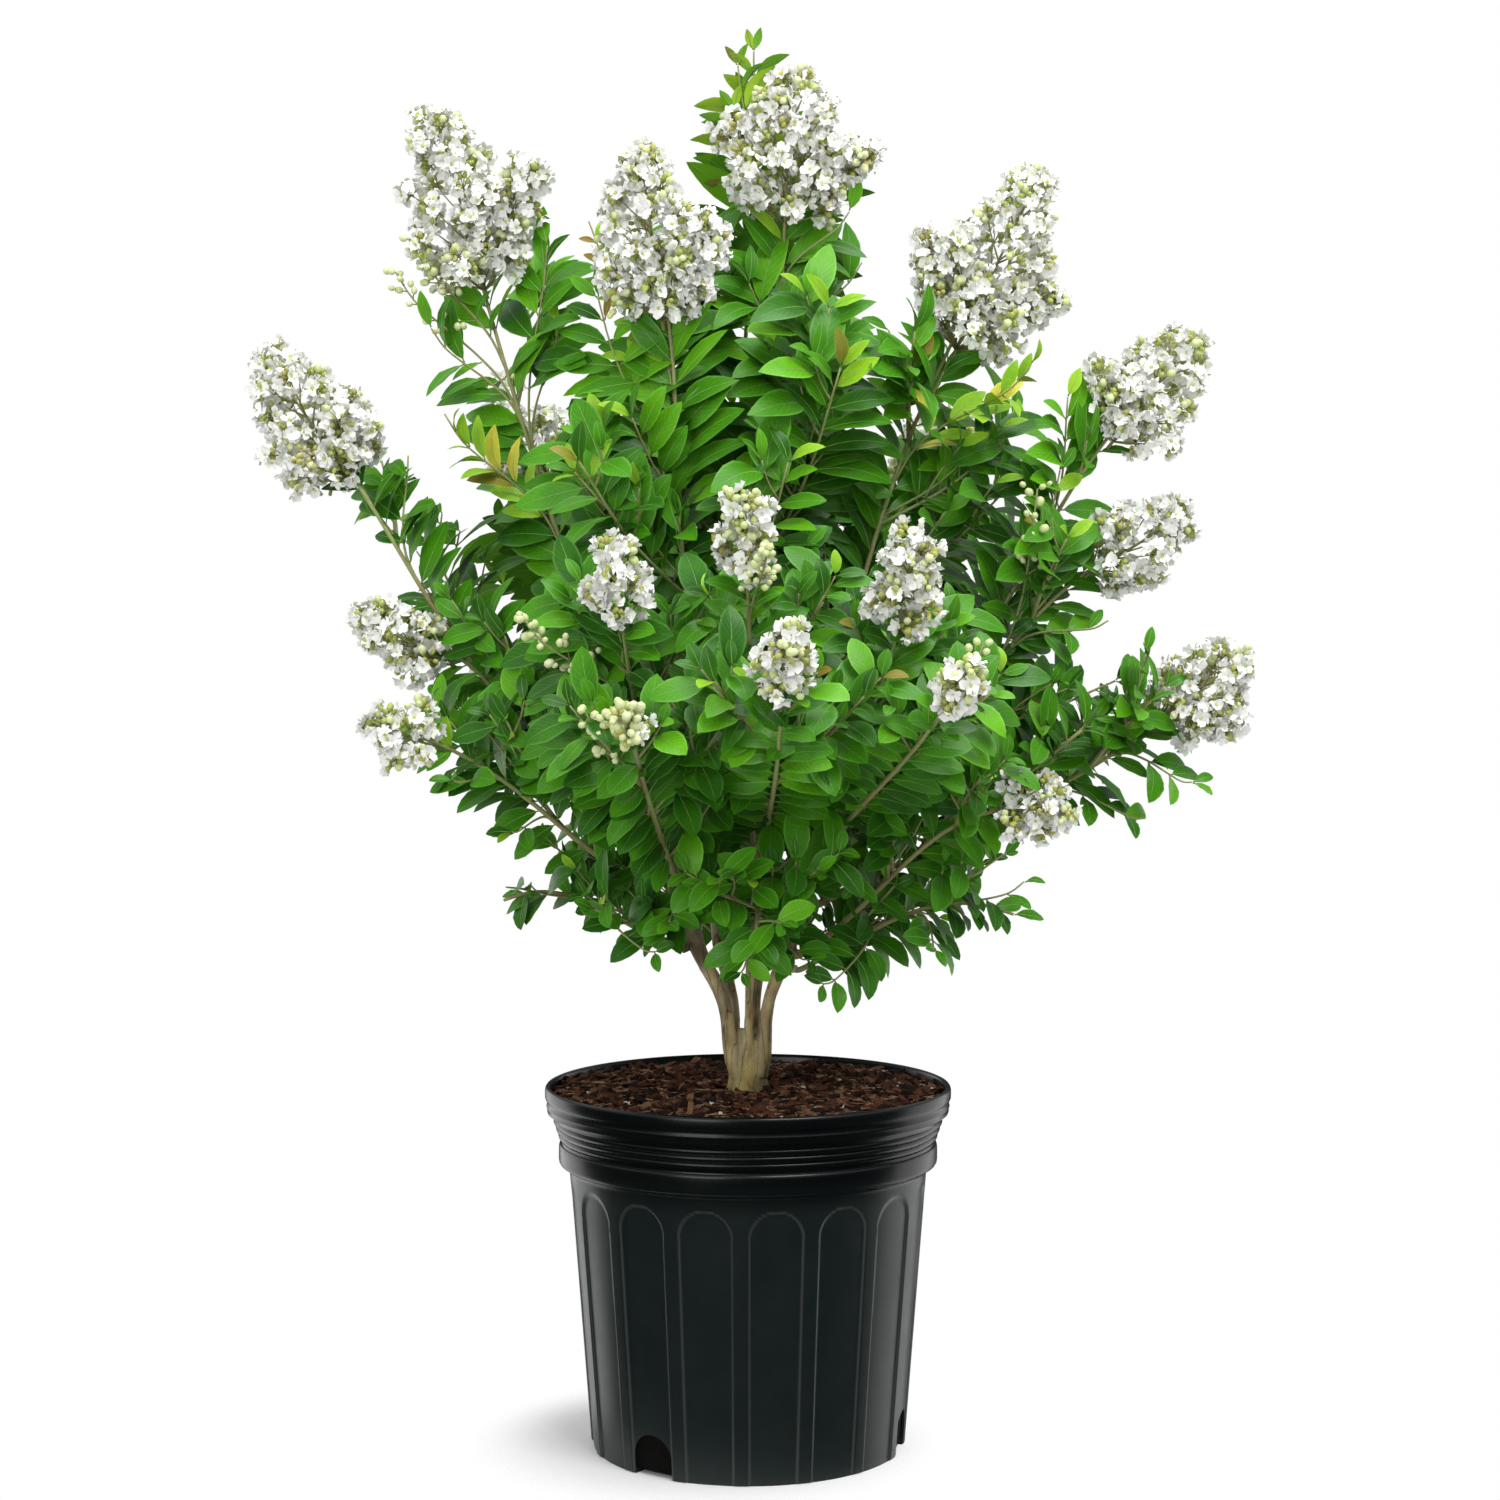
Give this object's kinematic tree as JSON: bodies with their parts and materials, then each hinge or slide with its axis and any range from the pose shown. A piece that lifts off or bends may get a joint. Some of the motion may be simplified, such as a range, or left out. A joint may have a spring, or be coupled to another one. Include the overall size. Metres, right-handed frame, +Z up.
{
  "type": "potted crape myrtle",
  "caption": "Young multi-stemmed crape myrtle in bloom, white panicles over green leaves, in a round black nursery pot.",
  "frame": {"origin": "centre of the pot's flat underside, on the ground", "axes": "+Z up along the pot's axis, -Y towards the front of the crown, +X to its right seen from the front"},
  "size_m": [0.6906, 0.66, 0.9957],
  "materials": {
    "pot_plastic": "satin black moulded plastic with sunk arches",
    "bark_mulch": "shredded reddish-brown bark mulch over potting soil",
    "bark": "pale tan bark that peels in thin strips",
    "leaves_and_blossom": "glossy green leaves with papery white blossom"
  },
  "bodies": {
    "root": {"back_left": "leaves_and_blossom", "back_low": "leaves_and_blossom", "back_low_left": "leaves_and_blossom", "back_low_right": "leaves_and_blossom", "back_middle": "leaves_and_blossom", "back_right": "leaves_and_blossom", "back_top": "leaves_and_blossom", "bough_back_left": "bark", "bough_back_low": "bark", "bough_back_low_left": "bark", "bough_back_low_right": "bark", "bough_back_middle": "bark", "bough_back_right": "bark", "bough_crest": "bark", "bough_front_left": "bark", "bough_front_low": "bark", "bough_front_low_left": "bark", "bough_front_low_right": "bark", "bough_front_middle": "bark", "bough_front_right": "bark", "bough_left": "bark", "bough_left_low": "bark", "bough_left_middle": "bark", "bough_right": "bark", "bough_right_low": "bark", "bough_right_lowest": "bark", "bough_right_middle": "bark", "bough_upper_middle": "bark", "crest": "leaves_and_blossom", "front_left": "leaves_and_blossom", "front_low": "leaves_and_blossom", "front_low_left": "leaves_and_blossom", "front_low_right": "leaves_and_blossom", "front_middle": "leaves_and_blossom", "front_right": "leaves_and_blossom", "left": "leaves_and_blossom", "left_low": "leaves_and_blossom", "left_middle": "leaves_and_blossom", "pot": "pot_plastic", "right": "leaves_and_blossom", "right_low": "leaves_and_blossom", "right_lowest": "leaves_and_blossom", "right_middle": "leaves_and_blossom", "skirt_back": "leaves_and_blossom", "skirt_front": "leaves_and_blossom", "skirt_left": "leaves_and_blossom", "skirt_right": "leaves_and_blossom", "soil": "bark_mulch", "stem_back": "bark", "stem_left": "bark", "stem_middle": "bark", "stem_right": "bark", "top": "leaves_and_blossom", "trunk": "bark", "upper_left": "leaves_and_blossom", "upper_middle": "leaves_and_blossom", "upper_right": "leaves_and_blossom"}
  },
  "joints": []
}
